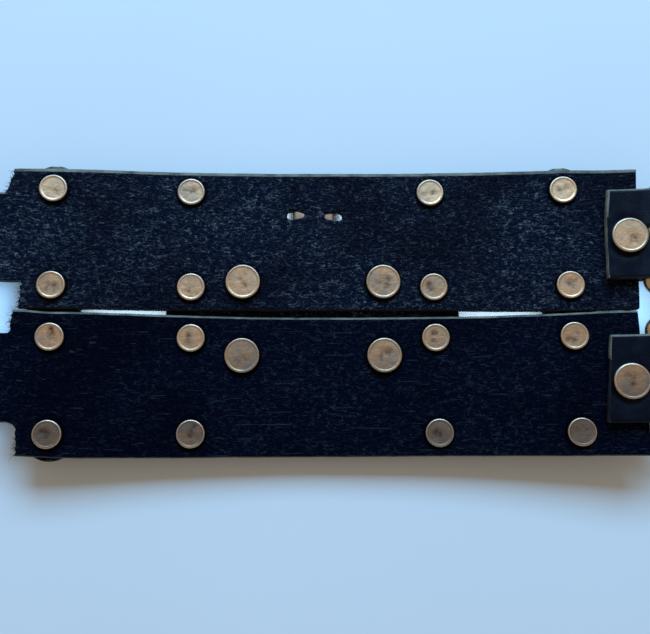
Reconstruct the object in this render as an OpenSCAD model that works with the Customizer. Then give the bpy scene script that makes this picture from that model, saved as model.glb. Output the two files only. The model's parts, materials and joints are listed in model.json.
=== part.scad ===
// Two-row riveted leather cuff, lying on its front with the flesh side up.
// X runs along the cuff towards the buckles, Y across it, Z up from the surface it lies on.
// Wear has curled the cuff: every leather layer follows circles about one axis parallel
// to Y, and a height in the code is measured from the flesh face towards that axis.

/* [Bands] */
// Width of the upper band
upper_band_w = 41.2; // [39.2:0.2:46]
// Width of the lower band
lower_band_w = 39.8; // [39:0.2:46]
// Gap between the two bands
band_gap = 2; // [1.6:0.1:3]
// Thickness of the band leather
band_t = 3; // [2.8:0.1:3.4]
// Radius of the curl in the leather
curl_r = 700; // [600:10:1200]
// From the middle to the upper band's tongue shoulders
upper_shoulder_x = 86; // [84:0.2:86.2]
// From the middle to the lower band's tongue shoulders
lower_shoulder_x = 84.2; // [83:0.2:86.2]
// From the middle to the upper band's buckle end
upper_end_x = 93.8; // [92:0.2:93.8]
// From the middle to the lower band's buckle end
lower_end_x = 93; // [91.6:0.2:93]

/* [Tongues] */
// Width of the upper tongue and its buckle neck
upper_tongue_w = 26; // [24:0.2:26.2]
// Width of the lower tongue and its buckle neck
lower_tongue_w = 24.2; // [23:0.2:26.2]
// From the middle to the tips of the tongues
tongue_tip_x = 186; // [180:1:200]
// From the middle to the first punched hole
first_hole_x = 91; // [91:0.5:92]
// Distance between punched holes
hole_pitch = 15; // [12:0.5:15]
// Radius of the punched holes
hole_r = 1.75; // [1.5:0.05:2]

/* [Front straps] */
// Thickness of the straps on the front
strap_t = 2.5; // [2.2:0.1:2.8]
// Width of the cross straps
cross_w = 14.8; // [13:0.2:15]
// From the middle to the inner cross straps
inner_x = 35; // [35:0.1:36]
// From the middle to the outer cross straps
outer_x = 74; // [70:0.5:75]
// Width of the two link straps beside the centre flap
link_w = 16.4; // [14:0.2:16.4]
// From the middle to the link straps
link_strap_x = 19.1; // [19:0.05:19.2]
// Width of the centre flap
flap_w = 21.2; // [19:0.2:21.2]

/* [Rivets] */
// From a band's outer edge to its rivets
outer_margin = 6.4; // [6:0.1:8]
// From a band's gap edge to its rivets
gap_margin = 6.4; // [6:0.1:7]
// Radius of the small rivet caps
small_cap_r = 4; // [3.5:0.1:4.2]
// Radius of the large rivet caps
large_cap_r = 5; // [4.5:0.1:5]
// From the middle to the large link rivets
link_rivet_x = 20.3; // [19.6:0.1:20.6]
// From the gap's centre line to the upper link rivets
upper_link_y = 9; // [8.6:0.1:12.4]
// From the gap's centre line to the lower link rivets
lower_link_y = 12.4; // [8.6:0.1:12.4]

/* [Buckles] */
// From the middle to the upper heel bar
upper_bar_x = 97.7; // [97.7:0.1:99]
// From the middle to the lower heel bar
lower_bar_x = 96.6; // [96.6:0.1:99]
// Radius of the buckle wire
wire_r = 1.9; // [1.7:0.05:1.9]
// Length of a buckle frame between bar centres
frame_len = 26; // [24:0.5:32]
// Running clearance round the heel bars
bar_play = 0.05; // [0.02:0.01:0.08]

/* [Hidden] */

$fn = 64;
curl_fn = 1440;
leather_colour = "#1c222c";
front_colour = "#15171b";
nickel = "#b5a58a";
brass = "#b39a6a";

// Rivets: how far caps sink into the leather, their heights and their stems
cap_sink = 0.25;
small_cap_h = 1.6;
large_cap_h = 2;
small_stem_r = 1.4;
large_stem_r = 1.6;
stem_play = 0.05;
stem_grip = 0.8;

// Heights of the layers above the flesh face, and the surface under the cuff
band_front_h = -band_t;
strap_front_h = -band_t - strap_t;
crown_drop = large_cap_h - cap_sink - strap_front_h;
curl_z = crown_drop + sqrt(curl_r * curl_r - link_rivet_x * link_rivet_x);

// Bands and rows of rivets across the cuff
half_gap = band_gap / 2;
top_edge = half_gap + upper_band_w;
bottom_edge = -half_gap - lower_band_w;
upper_rows = [top_edge - outer_margin, half_gap + gap_margin];
lower_rows = [-half_gap - gap_margin, bottom_edge + outer_margin];

// Each cross strap: distance from the middle, lean in degrees, top end and bottom end
OUTER_LEFT = [-outer_x, 1.4, top_edge + 1.7, bottom_edge - 0.9];
INNER_LEFT = [-inner_x, 1.1, top_edge - 0.4, bottom_edge + 0.4];
INNER_RIGHT = [inner_x, 0.7, top_edge - 0.4, bottom_edge + 0.4];
OUTER_RIGHT = [outer_x, 1.2, top_edge + 1.7, bottom_edge];
CROSS_STRAPS = [OUTER_LEFT, INNER_LEFT, INNER_RIGHT, OUTER_RIGHT];

// Tongues flex where they leave the bands
flex_x = 88.6;
flex_gap = 0.3;
hole_count = 6;

// The middles of the two straps that end in a tongue and in a buckle neck
upper_strap_y = 21.7;
lower_strap_y = -19.7;

// Hand-cut shoulders: at the band's top corner, at the tongue's two sides, at the bottom corner
UPPER_SHOULDERS = [for (slant = [0, 1.8, -3.8, -2.8]) upper_shoulder_x + slant];
LOWER_SHOULDERS = [for (slant = [0, 1.1, -2.8, -2.6]) lower_shoulder_x + slant];

// Buckle ends: the neck folds round the heel bar and back over the flesh face as a tab
tab_t = 3;
loop_r = 3.55;
loop_inset = 0.4;
neck_short = 1;
prong_slot_reach = 3.8;
prong_slot_w = 4.6;
fold_cap_r = 5.1;

// Each buckle end: strap middle, strap width, heel bar, the bar's skew in degrees,
// the tab's top corner and its bottom corner
UPPER_BUCKLE = [upper_strap_y, upper_tongue_w, upper_bar_x, -7.5, 85.4, 83.9];
LOWER_BUCKLE = [lower_strap_y, lower_tongue_w, lower_bar_x, 5, 83.9, 81.7];

// The rivets that close the two folds
UPPER_FOLD_RIVET = [90.3, 20.7];
LOWER_FOLD_RIVET = [88.2, -20.7];

// Buckle frame and prong
frame_half_w = 15.6;
heel_corner_r = 2.6;
end_corner_r = 5;
prong_r = 1.1;
prong_len = 28.2;
prong_w = 3.2;
prong_ring_r = 3.15;
prong_lean = atan((wire_r + prong_r + 0.1) / frame_len);
prong_tip_h = 0.18;

// Link straps: how far they reach past their rivets
link_reach = 7.6;
link_corner_r = 3;

// Centre flap, its slots and the staple through them
flap_top = 38;
flap_bottom = -32;
flap_corner_r = 4;
slot_y = 29.1;
slot_from = 2.6;
slot_to = 8.3;
slot_w = 3;
staple_t = 1;
staple_w = 2.6;
leg_from = 6;
leg_t = 0.6;
tip_x = 3.1;
tip_t = 0.8;
tip_h = -0.4;

function flesh_z(x) = curl_z - sqrt(curl_r * curl_r - x * x);
function bar_angle(bar_x) = asin(bar_x / curl_r);

// How far a frame drops below level, until its prong all but touches the surface
function droop(bar_x) = asin((flesh_z(bar_x) - prong_r - prong_tip_h) / prong_len) - prong_lean;

// The furthest x of a frame: the outside of its far corner on the side that its skew brings forward
function frame_reach(bar_x, skew) =
    let (
        turn = bar_angle(bar_x),
        drop = turn + droop(bar_x),
        ahead = frame_len - end_corner_r,
        aside = frame_half_w - end_corner_r,
        level = ahead * cos(drop) * cos(skew) + aside * sin(abs(skew)),
        corner_x = level * cos(turn) + ahead * sin(drop) * sin(turn),
        tilt = sin(drop) * cos(skew) * cos(turn) - cos(drop) * sin(turn)
    )
    bar_x + corner_x + end_corner_r * sqrt(1 - tilt * tilt) + wire_r;

// The origin is under the middle of the whole cuff's box
x_max = max(frame_reach(UPPER_BUCKLE[2], UPPER_BUCKLE[3]), frame_reach(LOWER_BUCKLE[2], LOWER_BUCKLE[3]));
origin_x = (x_max - tongue_tip_x) / 2;
origin_y = (OUTER_LEFT[2] + OUTER_LEFT[3]) / 2;

function rivet_x(strap, row) = strap[0] - row * tan(strap[1]);

// Moves from the cuff's middle to the origin of the part
module in_frame() {
    translate([-origin_x, -origin_y, 0]) children();
}

// Puts a child that is drawn on a flat flesh face on the curled one, at x
module on_curl(x) {
    translate([0, 0, curl_z])
        rotate([0, -asin(x / curl_r), 0])
            translate([0, 0, -curl_r])
                children();
}

// A curled sheet between two heights, cut to the outline that is its child
module curled(low_h, high_h) {
    intersection() {
        translate([0, 0, curl_z])
            rotate([90, 0, 0])
                linear_extrude(120, center = true)
                    difference() {
                        circle(r = curl_r - low_h, $fn = curl_fn);
                        circle(r = curl_r - high_h, $fn = curl_fn);
                    }
        translate([0, 0, -1])
            linear_extrude(80)
                children();
    }
}

module span(x1, x2, y1, y2) {
    translate([x1, y1]) square([x2 - x1, y2 - y1]);
}

// A span centred on x = 0 with round corners
module rounded_span(width, y1, y2, r) {
    span(-width / 2, width / 2, y1 + r, y2 - r);
    span(r - width / 2, width / 2 - r, y1, y2);
    for (side = [-1, 1], y = [y1 + r, y2 - r])
        translate([side * (width / 2 - r), y]) circle(r = r);
}

// A strap from x1 to just short of its heel bar, with an end cut parallel to the bar
module strap_to_bar(buckle, top_x, bottom_x) {
    top_y = buckle[0] + buckle[1] / 2;
    bottom_y = buckle[0] - buckle[1] / 2;
    lead = buckle[1] / 2 * tan(buckle[3]);
    end_x = buckle[2] - neck_short;
    polygon([[top_x, top_y], [bottom_x, bottom_y], [end_x + lead, bottom_y], [end_x - lead, top_y]]);
}

module band_outline(y1, y2, shoulders, end_x, buckle) {
    top_y = buckle[0] + buckle[1] / 2;
    bottom_y = buckle[0] - buckle[1] / 2;
    polygon([
        [-shoulders[0], y2], [-shoulders[1], top_y], [-shoulders[2], bottom_y], [-shoulders[3], y1],
        [end_x, y1], [end_x, y2]
    ]);
    strap_to_bar(buckle, -flex_x + flex_gap / 2, -flex_x + flex_gap / 2);
}

module slot_outline() {
    for (side = [-1, 1])
        translate([side * (slot_from + slot_to) / 2, slot_y]) {
            square([slot_to - slot_from - slot_w, slot_w], center = true);
            for (end = [-1, 1])
                translate([end * (slot_to - slot_from - slot_w) / 2, 0]) circle(d = slot_w);
        }
}

// The hole for a rivet's stem, and the hollows that its two caps press into the leather
module rivet_cut(stem_r, cap_r, top_h, front_h) {
    translate([0, 0, front_h - 5]) cylinder(r = stem_r + stem_play, h = top_h - front_h + 10);
    translate([0, 0, top_h - cap_sink]) cylinder(r = cap_r + 0.1, h = 5);
    translate([0, 0, front_h + cap_sink - 5]) cylinder(r = cap_r + 0.1, h = 5);
}

// A front cap with its stem
module rivet_post(stem_r, cap_r, cap_h, top_h, front_h) {
    translate([0, 0, front_h + cap_sink])
        mirror([0, 0, 1])
            rotate_extrude()
                polygon([
                    [0, 0], [cap_r, 0], [cap_r, 0.5], [cap_r - 0.3, 1.1], [cap_r - 1, cap_h], [0, cap_h]
                ]);
    translate([0, 0, front_h + cap_sink])
        cylinder(r = stem_r, h = top_h - front_h - 2 * cap_sink + stem_grip);
}

// A dished flesh-side cap, hollow underneath where the stem is pressed in
module rivet_cap(stem_r, cap_r, cap_h, top_h) {
    translate([0, 0, top_h - cap_sink])
        rotate_extrude()
            polygon([
                [stem_r, 0], [cap_r, 0], [cap_r, 0.6], [cap_r - 0.25, 1.2], [cap_r - 0.7, cap_h],
                [cap_r - 1.3, cap_h - 0.15], [0, cap_h - 0.45], [0, stem_grip], [stem_r, stem_grip]
            ]);
}

// Children at every rivet of a cross strap in the given rows
module at_cross_rivets(strap, rows) {
    for (row = rows)
        on_curl(rivet_x(strap, row)) translate([0, row, 0]) children();
}

// Children at the link rivets in the given rows, upright so that their crowns lie flat
module at_link_rivets(rows) {
    for (side = [-1, 1], row = rows)
        translate([side * link_rivet_x, row, flesh_z(link_rivet_x)]) children();
}

module at_fold_rivets() {
    for (spot = [UPPER_FOLD_RIVET, LOWER_FOLD_RIVET])
        on_curl(spot[0]) translate([0, spot[1], 0]) children();
}

module small_cut() { rivet_cut(small_stem_r, small_cap_r, 0, strap_front_h); }
module link_cut() { rivet_cut(large_stem_r, large_cap_r, 0, strap_front_h); }
module fold_cut() { rivet_cut(large_stem_r, fold_cap_r, tab_t, band_front_h); }

// Children drawn round the heel bar, with X along the flesh face and Y along the bar
module at_bar(buckle) {
    on_curl(buckle[2])
        translate([0, buckle[0], 0])
            rotate([0, 0, buckle[3]])
                children();
}

// Children drawn round the heel bar, hanging as far as the surface below lets them
module hanging(buckle) {
    at_bar(buckle)
        rotate([0, bar_angle(buckle[2]) + droop(buckle[2]), 0])
            children();
}

// The fold round the heel bar: a tab on the flesh face and a loop at the bar
module buckle_fold(buckle) {
    curled(-0.1, tab_t) strap_to_bar(buckle, buckle[4], buckle[5]);
    at_bar(buckle)
        rotate([90, 0, 0])
            cylinder(r = loop_r, h = buckle[1] - loop_inset, center = true);
}

module heel_bar_cut(buckle) {
    at_bar(buckle) {
        rotate([90, 0, 0]) cylinder(r = wire_r + bar_play, h = buckle[1] + 10, center = true);
        translate([-prong_slot_reach, -prong_slot_w / 2, -10]) cube([20, prong_slot_w, 20]);
    }
}

module band(y1, y2, shoulders, end_x, buckle, rows, link_row) {
    difference() {
        union() {
            curled(band_front_h, 0) band_outline(y1, y2, shoulders, end_x, buckle);
            buckle_fold(buckle);
        }
        heel_bar_cut(buckle);
        for (strap = CROSS_STRAPS) at_cross_rivets(strap, rows) small_cut();
        at_link_rivets([link_row]) link_cut();
        at_fold_rivets() fold_cut();
    }
}

module tongue(mid, width) {
    tip_centre_x = width / 2 - tongue_tip_x;
    difference() {
        curled(band_front_h, 0) {
            span(tip_centre_x, -flex_x - flex_gap / 2, mid - width / 2, mid + width / 2);
            translate([tip_centre_x, mid]) circle(d = width);
        }
        for (i = [0 : hole_count - 1])
            on_curl(-first_hole_x - i * hole_pitch)
                translate([0, mid, 0])
                    cylinder(r = hole_r, h = 20, center = true);
    }
}

module cross_strap(strap) {
    difference() {
        curled(strap_front_h, band_front_h)
            translate([strap[0], 0])
                rotate(strap[1]) {
                    span(-cross_w / 2, cross_w / 2, strap[3] + cross_w / 2, strap[2] - cross_w / 2);
                    translate([0, strap[2] - cross_w / 2]) circle(d = cross_w);
                    translate([0, strap[3] + cross_w / 2]) circle(d = cross_w);
                }
        at_cross_rivets(strap, concat(upper_rows, lower_rows)) small_cut();
    }
}

module cross_posts(strap) {
    at_cross_rivets(strap, concat(upper_rows, lower_rows))
        rivet_post(small_stem_r, small_cap_r, small_cap_h, 0, strap_front_h);
}

module cross_caps(strap) {
    at_cross_rivets(strap, concat(upper_rows, lower_rows))
        rivet_cap(small_stem_r, small_cap_r, small_cap_h, 0);
}

module link_strap(side) {
    difference() {
        curled(strap_front_h, band_front_h)
            translate([side * link_strap_x, 0])
                rounded_span(link_w, -lower_link_y - link_reach, upper_link_y + link_reach,
                             link_corner_r);
        at_link_rivets([upper_link_y, -lower_link_y]) link_cut();
    }
}

// A wire frame in the XY plane with its heel bar on the Y axis
module wire_corner(r, x, y, turn) {
    translate([x, y, 0])
        rotate([0, 0, turn])
            rotate_extrude(angle = 90)
                translate([r, 0]) circle(r = wire_r);
}

module wire_bar(x, y, length, along_y) {
    translate([x, y, 0])
        rotate(along_y ? [90, 0, 0] : [0, 90, 0])
            cylinder(r = wire_r, h = length, center = true);
}

module buckle_frame(buckle) {
    hanging(buckle)
        union() {
            wire_bar(0, 0, 2 * (frame_half_w - heel_corner_r), true);
            wire_bar(frame_len, 0, 2 * (frame_half_w - end_corner_r), true);
            for (side = [-1, 1])
                wire_bar((frame_len + heel_corner_r - end_corner_r) / 2, side * frame_half_w,
                         frame_len - heel_corner_r - end_corner_r, false);
            wire_corner(heel_corner_r, heel_corner_r, frame_half_w - heel_corner_r, 90);
            wire_corner(heel_corner_r, heel_corner_r, heel_corner_r - frame_half_w, 180);
            wire_corner(end_corner_r, frame_len - end_corner_r, frame_half_w - end_corner_r, 0);
            wire_corner(end_corner_r, frame_len - end_corner_r, end_corner_r - frame_half_w, 270);
        }
}

module buckle_prong(buckle) {
    hanging(buckle) {
        difference() {
            union() {
                rotate([90, 0, 0]) cylinder(r = prong_ring_r, h = prong_w, center = true);
                rotate([0, 90 + prong_lean, 0]) cylinder(r = prong_r, h = prong_len);
                rotate([0, prong_lean, 0]) translate([prong_len, 0, 0]) sphere(r = prong_r);
            }
            rotate([90, 0, 0]) cylinder(r = wire_r + bar_play, h = prong_w + 2, center = true);
        }
    }
}

module upper_band() {
    color(leather_colour)
        in_frame()
            difference() {
                band(half_gap, top_edge, UPPER_SHOULDERS, upper_end_x, UPPER_BUCKLE,
                     upper_rows, upper_link_y);
                linear_extrude(20) slot_outline();
            }
}

module lower_band() {
    color(leather_colour)
        in_frame()
            band(bottom_edge, -half_gap, LOWER_SHOULDERS, lower_end_x, LOWER_BUCKLE,
                 lower_rows, -lower_link_y);
}

module upper_tongue() { color(leather_colour) in_frame() tongue(upper_strap_y, upper_tongue_w); }
module lower_tongue() { color(leather_colour) in_frame() tongue(lower_strap_y, lower_tongue_w); }

module outer_left_strap() { color(front_colour) in_frame() cross_strap(OUTER_LEFT); }
module inner_left_strap() { color(front_colour) in_frame() cross_strap(INNER_LEFT); }
module inner_right_strap() { color(front_colour) in_frame() cross_strap(INNER_RIGHT); }
module outer_right_strap() { color(front_colour) in_frame() cross_strap(OUTER_RIGHT); }
module left_link_strap() { color(front_colour) in_frame() link_strap(-1); }
module right_link_strap() { color(front_colour) in_frame() link_strap(1); }

module centre_flap() {
    color(front_colour)
        in_frame()
            difference() {
                curled(strap_front_h, band_front_h)
                    rounded_span(flap_w, flap_bottom, flap_top, flap_corner_r);
                linear_extrude(20) slot_outline();
            }
}

// A flat crown on the flap, two legs through the slots and their tips folded inwards
module centre_staple() {
    crown_z = flesh_z(0) + strap_front_h;
    color(nickel)
        in_frame()
            translate([0, slot_y, 0]) {
                translate([0, 0, crown_z - staple_t / 2])
                    cube([2 * (leg_from + leg_t), staple_w, staple_t], center = true);
                for (side = [-1, 1]) mirror([side < 0 ? 1 : 0, 0, 0]) {
                    translate([leg_from, -staple_w / 2, crown_z - staple_t])
                        cube([leg_t, staple_w, flesh_z(0) + tip_h - crown_z + staple_t]);
                    translate([0, 0, flesh_z(0) + tip_h - tip_t])
                        linear_extrude(tip_t)
                            polygon([
                                [leg_from + 0.1, -staple_w / 2], [leg_from + 0.1, staple_w / 2], [tip_x, 0]
                            ]);
                }
            }
}

module outer_left_rivet_posts() { color(nickel) in_frame() cross_posts(OUTER_LEFT); }
module outer_left_rivet_caps() { color(nickel) in_frame() cross_caps(OUTER_LEFT); }
module inner_left_rivet_posts() { color(nickel) in_frame() cross_posts(INNER_LEFT); }
module inner_left_rivet_caps() { color(nickel) in_frame() cross_caps(INNER_LEFT); }
module inner_right_rivet_posts() { color(nickel) in_frame() cross_posts(INNER_RIGHT); }
module inner_right_rivet_caps() { color(nickel) in_frame() cross_caps(INNER_RIGHT); }
module outer_right_rivet_posts() { color(nickel) in_frame() cross_posts(OUTER_RIGHT); }
module outer_right_rivet_caps() { color(nickel) in_frame() cross_caps(OUTER_RIGHT); }

module link_rivet_posts() {
    color(nickel)
        in_frame()
            at_link_rivets([upper_link_y, -lower_link_y])
                rivet_post(large_stem_r, large_cap_r, large_cap_h, 0, strap_front_h);
}

module link_rivet_caps() {
    color(nickel)
        in_frame()
            at_link_rivets([upper_link_y, -lower_link_y])
                rivet_cap(large_stem_r, large_cap_r, large_cap_h, 0);
}

module fold_rivet_posts() {
    color(nickel)
        in_frame()
            at_fold_rivets()
                rivet_post(large_stem_r, fold_cap_r, large_cap_h, tab_t, band_front_h);
}

module fold_rivet_caps() {
    color(nickel)
        in_frame()
            at_fold_rivets()
                rivet_cap(large_stem_r, fold_cap_r, large_cap_h, tab_t);
}

module upper_buckle_frame() { color(brass) in_frame() buckle_frame(UPPER_BUCKLE); }
module lower_buckle_frame() { color(brass) in_frame() buckle_frame(LOWER_BUCKLE); }
module upper_buckle_prong() { color(brass) in_frame() buckle_prong(UPPER_BUCKLE); }
module lower_buckle_prong() { color(brass) in_frame() buckle_prong(LOWER_BUCKLE); }

upper_band();
lower_band();
upper_tongue();
lower_tongue();
outer_left_strap();
inner_left_strap();
inner_right_strap();
outer_right_strap();
left_link_strap();
right_link_strap();
centre_flap();
centre_staple();
outer_left_rivet_posts();
outer_left_rivet_caps();
inner_left_rivet_posts();
inner_left_rivet_caps();
inner_right_rivet_posts();
inner_right_rivet_caps();
outer_right_rivet_posts();
outer_right_rivet_caps();
link_rivet_posts();
link_rivet_caps();
fold_rivet_posts();
fold_rivet_caps();
upper_buckle_frame();
upper_buckle_prong();
lower_buckle_frame();
lower_buckle_prong();
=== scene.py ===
"""The looks of a two-row riveted leather cuff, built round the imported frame.

Leather pieces start as flat patterns of quads in millimetres. sheet() bends a pattern along
the curl of the cuff, gives it its thickness, and presses the rivets' hollows into it.
Pattern coordinates are (along, across): along is an arc length from the middle of the cuff,
across is measured from the middle of the gap between the bands.
"""
import json
import math
import random

import bpy
import numpy as np
from mathutils import Matrix, Vector, noise
from mathutils.kdtree import KDTree


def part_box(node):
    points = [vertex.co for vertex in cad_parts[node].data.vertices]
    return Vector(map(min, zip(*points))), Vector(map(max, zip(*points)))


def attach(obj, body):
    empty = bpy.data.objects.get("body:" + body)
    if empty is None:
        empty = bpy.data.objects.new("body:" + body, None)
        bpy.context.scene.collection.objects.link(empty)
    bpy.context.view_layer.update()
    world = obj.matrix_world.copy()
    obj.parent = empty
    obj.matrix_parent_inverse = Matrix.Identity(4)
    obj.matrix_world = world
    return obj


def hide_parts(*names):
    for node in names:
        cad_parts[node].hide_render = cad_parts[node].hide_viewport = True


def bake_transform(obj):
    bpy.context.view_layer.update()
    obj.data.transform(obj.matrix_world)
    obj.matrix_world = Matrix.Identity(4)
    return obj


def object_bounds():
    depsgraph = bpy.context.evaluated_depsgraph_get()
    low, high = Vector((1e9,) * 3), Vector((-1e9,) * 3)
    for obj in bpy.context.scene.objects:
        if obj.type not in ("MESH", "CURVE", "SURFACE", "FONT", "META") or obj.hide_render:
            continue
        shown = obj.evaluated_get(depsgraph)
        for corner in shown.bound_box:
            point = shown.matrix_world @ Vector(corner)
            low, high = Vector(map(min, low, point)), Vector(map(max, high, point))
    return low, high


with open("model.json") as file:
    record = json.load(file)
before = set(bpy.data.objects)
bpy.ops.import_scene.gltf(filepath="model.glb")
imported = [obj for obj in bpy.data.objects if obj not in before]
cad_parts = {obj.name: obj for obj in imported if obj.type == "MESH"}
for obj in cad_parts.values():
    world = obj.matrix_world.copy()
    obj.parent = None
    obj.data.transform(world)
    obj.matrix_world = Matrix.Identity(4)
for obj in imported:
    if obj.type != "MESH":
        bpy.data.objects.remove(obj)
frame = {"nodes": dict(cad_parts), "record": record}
CAD_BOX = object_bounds()
MM = 0.001

# ---------------------------------------------------------------- sizes in mm, and places

# the thickness of the bands, and of the straps on their front
BAND_T = 3.0
STRAP_T = 2.5
# the radius of the cuff's curl on its flesh face
CURL_R = 700.0
# the radius of the buckles' wire
WIRE_R = 1.9
# where the tongues bend, and how far the bend reaches to either side
FLEX_X = 88.6
HALF_BEND = 6.0

JOINTS = {joint["name"]: joint for joint in frame["record"]["behaviour"]["joints"]}


def box_mm(node):
    """The lowest and highest corners of a CAD node in millimetres."""
    low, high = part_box(node)
    return np.array(low) / MM, np.array(high) / MM


UPPER_LOW = box_mm("upper_band")[0]
LOWER_HIGH = box_mm("lower_band")[1]
LINK_LOW, LINK_HIGH = box_mm("link_rivet_caps")
MIDDLE = np.array([(LINK_LOW[0] + LINK_HIGH[0]) / 2, (UPPER_LOW[1] + LOWER_HIGH[1]) / 2, 0])
CURL_Z = UPPER_LOW[2] + BAND_T + CURL_R


def arc(x):
    """The arc length on the flesh face at a distance x from the middle."""
    return CURL_R * math.asin(x / CURL_R)


def in_row(points):
    """Points in millimetres from the cuff's middle, as metres in the row frame."""
    return (np.asarray(points) + MIDDLE) * MM


def curl_points(along, across, height):
    """Points at a height above the curled flesh face."""
    turn = np.asarray(along) / CURL_R
    reach = CURL_R - np.asarray(height)
    x = reach * np.sin(turn)
    z = CURL_Z - reach * np.cos(turn)
    return np.stack(np.broadcast_arrays(x, across, z), -1)


# ---------------------------------------------------------------- camera

CAMERA_PITCH = math.radians(9.6)
CAMERA_ROLL = math.radians(0.3)
CAMERA_YAW = math.radians(1.4)
CAMERA_REACH = 230.9
CAMERA_LENS = 44.3
# where the middle of the picture falls, from the middle of the gap on the flesh face
PICTURE_X = 3.4
PICTURE_Y = -1.1


def add_camera():
    """Looks down on the flesh side, from a little towards the lower band."""
    data = bpy.data.cameras.new("camera")
    data.lens = CAMERA_LENS
    data.sensor_width = 36
    data.clip_start = 0.01
    data.clip_end = 20
    camera = bpy.data.objects.new("camera", data)
    bpy.context.scene.collection.objects.link(camera)
    turn = (
        Matrix.Rotation(CAMERA_ROLL, 3, "Z")
        @ Matrix.Rotation(-CAMERA_PITCH, 3, "X")
        @ Matrix.Rotation(CAMERA_YAW, 3, "Y")
    )
    back = turn.transposed()
    target = Vector(in_row(curl_points(0, PICTURE_Y, 0)))
    place = target + back @ (Vector((PICTURE_X, 0, CAMERA_REACH)) * MM)
    camera.matrix_world = Matrix.Translation(place) @ back.to_4x4()
    bpy.context.scene.camera = camera


add_camera()

# ---------------------------------------------------------------- node materials


class Nodes:
    """A small helper that adds nodes to a new material and links them."""

    def __init__(self, name):
        self.material = bpy.data.materials.new(name)
        self.material.use_nodes = True
        self.tree = self.material.node_tree
        self.shader = self.tree.nodes["Principled BSDF"]
        self.place = self.add("ShaderNodeTexCoord").outputs["Object"]

    def add(self, kind, inputs=None, **settings):
        node = self.tree.nodes.new(kind)
        for key, value in settings.items():
            setattr(node, key, value)
        for key, value in (inputs or {}).items():
            self.feed(node.inputs[key], value)
        return node

    def feed(self, socket, value):
        if isinstance(value, bpy.types.NodeSocket):
            self.tree.links.new(value, socket)
        else:
            socket.default_value = value

    def stretched(self, scale, place=None):
        """The object coordinates or another place, with a scale for each axis."""
        inputs = {"Vector": place or self.place, "Scale": scale}
        return self.add("ShaderNodeMapping", inputs).outputs[0]

    def noise(self, scale, detail=4.0, rough=0.55, place=None):
        inputs = {"Vector": place or self.place, "Scale": scale, "Detail": detail, "Roughness": rough}
        return self.add("ShaderNodeTexNoise", inputs).outputs["Fac"]

    def cells(self, scale, place):
        """The distance to the edge of the nearest cell."""
        inputs = {"Vector": place, "Scale": scale}
        return self.add("ShaderNodeTexVoronoi", inputs, feature="DISTANCE_TO_EDGE").outputs["Distance"]

    def math(self, operation, a, b=0.0, clamp=False):
        node = self.add("ShaderNodeMath", operation=operation, use_clamp=clamp)
        self.feed(node.inputs[0], a)
        self.feed(node.inputs[1], b)
        return node.outputs[0]

    def plus(self, a, b, clamp=False):
        return self.math("ADD", a, b, clamp)

    def times(self, a, b):
        return self.math("MULTIPLY", a, b)

    def vector(self, operation, a, b, second=1):
        """Vector arithmetic; second is the input that b goes to."""
        node = self.add("ShaderNodeVectorMath", operation=operation)
        self.feed(node.inputs[0], a)
        self.feed(node.inputs[second], b)
        return node.outputs[0]

    def hollow(self):
        """How dark mark_hollows() made the surface here: painted shade round the caps on the leather, stains
        in the caps' dents on the metal.
        """
        return self.add("ShaderNodeAttribute", attribute_name="hollow").outputs["Fac"]

    def span(self, value, low, high, to_low=0.0, to_high=1.0):
        """value moved from low..high to to_low..to_high, and kept inside."""
        inputs = {"Value": value, "From Min": low, "From Max": high, "To Min": to_low, "To Max": to_high}
        return self.add("ShaderNodeMapRange", inputs).outputs["Result"]

    def mix(self, share, one, other):
        node = self.add("ShaderNodeMix", data_type="RGBA")
        self.feed(node.inputs["Factor"], share)
        self.feed(node.inputs["A"], one)
        self.feed(node.inputs["B"], other)
        return node.outputs["Result"]

    def bump(self, height, strength, distance, before=None):
        inputs = {"Height": height, "Strength": strength, "Distance": distance}
        if before:
            inputs["Normal"] = before
        return self.add("ShaderNodeBump", inputs).outputs["Normal"]

    def finish(self, **inputs):
        """Feeds the shader's sockets, named with underscores for spaces."""
        for key, value in inputs.items():
            self.feed(self.shader.inputs[key.replace("_", " ")], value)
        return self.material


# painted highlight: the pale colour of the wrinkles' lines, for the glints of light on them
GLINT_COLOUR = (0.125, 0.165, 0.200, 1)
SCRATCHED = (0.030, 0.040, 0.052, 1)
# painted shade: the dark colour of the ring round each cap on the leather, where the cap shades it
CAP_RING_SHADE = (0.0001, 0.0006, 0.0030, 1)
STAINED_METAL = (0.035, 0.026, 0.022, 1)


def warped_place(n, scale, amount):
    """Object coordinates pushed about by noise, so that cells lose their straight edges."""
    push = n.add("ShaderNodeTexNoise", {"Vector": n.place, "Scale": scale, "Detail": 2.0}).outputs["Color"]
    centred = n.vector("SUBTRACT", push, (0.5, 0.5, 0.5))
    return n.vector("ADD", n.place, n.vector("SCALE", centred, amount, "Scale"))


def strokes(n, scale, width, amount):
    """Short worm-like lines: where stretched noise crosses its middle value."""
    place = n.stretched(scale, warped_place(n, 420, amount))
    off = n.math("ABSOLUTE", n.math("SUBTRACT", n.noise(1.0, 2, 0.5, place), 0.5))
    return n.span(off, 0.0, width, 1.0, 0.0)


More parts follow.
